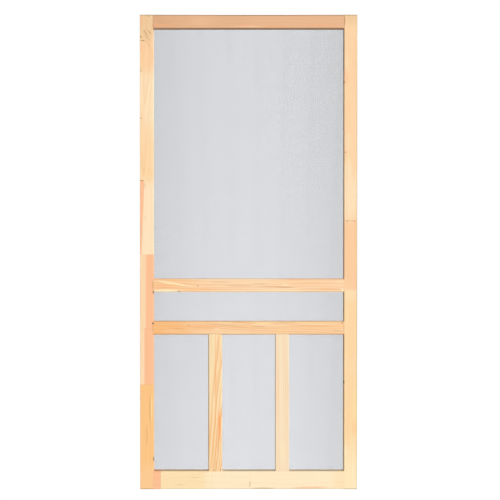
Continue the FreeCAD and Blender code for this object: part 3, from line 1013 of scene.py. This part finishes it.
def woven_panel(light):
    """The mesh of one light, as crossing strands."""
    node = f"{light}_screen"
    low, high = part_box(node)
    inset = SHEET / 2
    left, right, foot, head = low.x + inset, high.x - inset, low.z + inset, high.z - inset
    flat, lip = high.y - inset, low.y + YARN_THICKNESS
    groups = [
        strands(evenly(left, right, UPRIGHT_PITCH), 0, foot, head, flat, lip),
        strands(evenly(foot, head, LEVEL_PITCH), 2, left, right, flat, lip),
    ]
    points = np.concatenate(groups)
    count, points_each, _ = points.shape
    faces = tube_faces(points_each // YARN_SIDES, YARN_SIDES)
    starts = range(0, count * points_each, points_each)
    all_faces = [tuple(start + corner for corner in face) for start in starts for face in faces]
    mesh = bpy.data.meshes.new(f"{light}_mesh")
    mesh.from_pydata(points.reshape(-1, 3).tolist(), [], all_faces)
    shade_round(mesh, YARN_ROUND)
    print(f"{light} mesh: {count} strands")
    return add_piece(f"{light}_mesh", mesh, mesh_finish, node)


LIGHTS = ("upper", "band", "lower_left", "lower_centre", "lower_right")
panels = [woven_panel(light) for light in LIGHTS]
print("faces of the panels:", sum(len(piece.data.polygons) for piece in panels))

# %% [markdown]
# ## Spline
# The cord that holds the mesh is extruded vinyl with small ribs along it, which grip the groove. A
# plain rod would fill the groove as well, but the ribs catch the light from behind. Each length is
# one ribbed section drawn along its solid, with its cut ends very slightly crushed.

# %% Draw the spline
RIBS = 12
POINTS_PER_RIB = 4
RIB_DEPTH = 0.12
CRUSHED_LENGTH = 0.3 * MM
CRUSHED_SHARE = 0.86
GREY = (56, 56, 58)
CHALKY_GREY = (92, 92, 94)
# Degrees that an edge may turn and still be shaded round.
RIB_ROUND = 50
# Features to a metre, across the back of the leaf and through it.
BLOOM_ACROSS, BLOOM_THROUGH = 60, 300
BLOOM_DEPTH = 0.05 * MM
CORD_ROUGHNESS = 0.5
BLOOM_ROUGHNESS = 0.2


def grey_vinyl():
    """Soft grey vinyl with a chalky bloom."""
    finish = Finish("grey_vinyl")
    x, y, z = finish.position()
    bloom = finish.noise(x * BLOOM_ACROSS, y * BLOOM_THROUGH, z * BLOOM_ACROSS, detail=3.0)
    colour = finish.mix(bloom, tone(*GREY), tone(*CHALKY_GREY))
    roughness = CORD_ROUGHNESS + bloom * BLOOM_ROUGHNESS
    return finish.painted(colour, roughness, relief=bloom, relief_depth=BLOOM_DEPTH)


spline_finish = grey_vinyl()


def ribbed_cord(node):
    """One length of spline, along the longest side of its solid."""
    low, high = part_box(node)
    size = high - low
    middle = (low + high) / 2
    run = max(range(3), key=lambda axis: size[axis])
    first, second = (axis for axis in range(3) if axis != run)
    sides = RIBS * POINTS_PER_RIB
    turns = 2 * math.pi * np.arange(sides) / sides
    reach = size[first] / 2 * (1 - RIB_DEPTH * (0.5 - 0.5 * np.cos(RIBS * turns)))
    rings = [
        (low[run], CRUSHED_SHARE),
        (low[run] + CRUSHED_LENGTH, 1.0),
        (high[run] - CRUSHED_LENGTH, 1.0),
        (high[run], CRUSHED_SHARE),
    ]
    points = np.zeros((len(rings), sides, 3))
    for row, (place, share) in enumerate(rings):
        points[row, :, run] = place
        points[row, :, first] = middle[first] + reach * share * np.cos(turns)
        points[row, :, second] = middle[second] + reach * share * np.sin(turns)
    mesh = bpy.data.meshes.new(f"ribbed_{node}")
    mesh.from_pydata(points.reshape(-1, 3).tolist(), [], tube_faces(len(rings), sides))
    shape = bmesh.new()
    shape.from_mesh(mesh)
    bmesh.ops.recalc_face_normals(shape, faces=shape.faces)
    shape.to_mesh(mesh)
    shape.free()
    shade_round(mesh, RIB_ROUND)
    return add_piece(f"ribbed_{node}", mesh, spline_finish, node)


cords = [ribbed_cord(node) for node in sorted(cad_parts) if "_spline_" in node]
print("spline lengths:", len(cords))

# %% [markdown]
# ## The studio
# The leaf stands in a white room, so bright that floor and walls burn out in the picture. A lit room
# would need far more light than the wood can take. So the floor and the dome glow by themselves, and
# only the camera sees them. They glow a little more behind the middle of the leaf, which shows through
# the mesh. The wood is lit by an even sky and a wide window to the right, with another behind. Both
# are so far away that the light falls off nowhere.

# %% Build the room
ROOM_RADIUS = 14.0
DOME_SEGMENTS, DOME_RINGS = 64, 32
FLOOR_SEGMENTS = 96
FLOOR_MARGIN = 0.5
FLOOR_GAP = 0.5 * MM
# The glow is set out in slopes, to the side and upwards, from a point in front of the leaf.
GLOW_POINT = Vector((leaf_centre.x, -2.6, leaf_centre.z))
GLOW_WIDTH = 0.194
GLOW_SHARE = 0.78
GLOW_FALL = 0.58
# From front to back, where the extra glow begins and where it is full.
GLOW_STARTS, GLOW_FULL = -0.5, 0.0
EDGE_GLOW = (1.0, 1.015, 1.04)
MIDDLE_GLOW = (1.22, 1.24, 1.285)


def glowing_white(name):
    """White that glows by itself, most behind the leaf, in the upright plane through its middle."""
    finish = Finish(name)
    x, y, z = finish.position()
    away = y - GLOW_POINT.y
    aside = (x - GLOW_POINT.x) / away / GLOW_WIDTH
    above = (z - GLOW_POINT.z) / away
    behind = y.ramp(GLOW_STARTS, GLOW_FULL)
    share = (GLOW_SHARE - above * GLOW_FALL - aside.squared()) * behind
    glow = finish.mix(share, EDGE_GLOW, MIDDLE_GLOW)
    return finish.done(finish.node("ShaderNodeEmission", Color=glow)["Emission"])


def room_piece(name, shape, finish):
    """A part of the room that only the camera sees."""
    mesh = bpy.data.meshes.new(name)
    shape.to_mesh(mesh)
    shape.free()
    mesh.materials.append(finish)
    thing = bpy.data.objects.new(name, mesh)
    bpy.context.scene.collection.objects.link(thing)
    thing.visible_diffuse = False
    thing.visible_glossy = False
    thing.visible_transmission = False
    thing.visible_shadow = False


white_room = glowing_white("white_room")
dome_shape = bmesh.new()
round_room = {"u_segments": DOME_SEGMENTS, "v_segments": DOME_RINGS, "radius": ROOM_RADIUS}
bmesh.ops.create_uvsphere(dome_shape, **round_room)
room_piece("dome", dome_shape, white_room)
floor_shape = bmesh.new()
floor_radius = ROOM_RADIUS - FLOOR_MARGIN
bmesh.ops.create_circle(floor_shape, cap_ends=True, segments=FLOOR_SEGMENTS, radius=floor_radius)
bmesh.ops.translate(floor_shape, verts=floor_shape.verts, vec=(0, 0, cad_low.z - FLOOR_GAP))
room_piece("floor", floor_shape, white_room)
print("room radius:", ROOM_RADIUS, "m")

# %% Set up the lamps
SKY = 0.36
# Where each window lies from the leaf, and how bright it makes a white card.
FRONT_WINDOW = (Vector((0.61, -0.79, 0.1)), 0.85)
BACK_WINDOW = (Vector((0.5, 0.8, 0.3)), 0.7)
WINDOW_SPREAD = math.radians(24)
WINDOW_DISTANCE = 4.0

world = bpy.data.worlds.new("even_sky")
world.use_nodes = True
world.node_tree.nodes["Background"].inputs["Color"].default_value = (1, 1, 1, 1)
world.node_tree.nodes["Background"].inputs["Strength"].default_value = SKY
bpy.context.scene.world = world


def soft_window(name, towards, light):
    """A wide light far away that lights a white card, turned to face it, to a given brightness."""
    lamp = bpy.data.lights.new(name, "SUN")
    lamp.angle = WINDOW_SPREAD
    lamp.energy = light * math.pi
    thing = bpy.data.objects.new(name, lamp)
    thing.location = leaf_centre + WINDOW_DISTANCE * towards
    thing.rotation_euler = towards.to_track_quat("Z", "Y").to_euler()
    bpy.context.scene.collection.objects.link(thing)
    print(f"{name}: {lamp.energy:.2f} W to a square metre")


soft_window("front_window", *FRONT_WINDOW)
soft_window("back_window", *BACK_WINDOW)
bpy.context.scene.view_settings.view_transform = "Standard"

# %% [markdown]
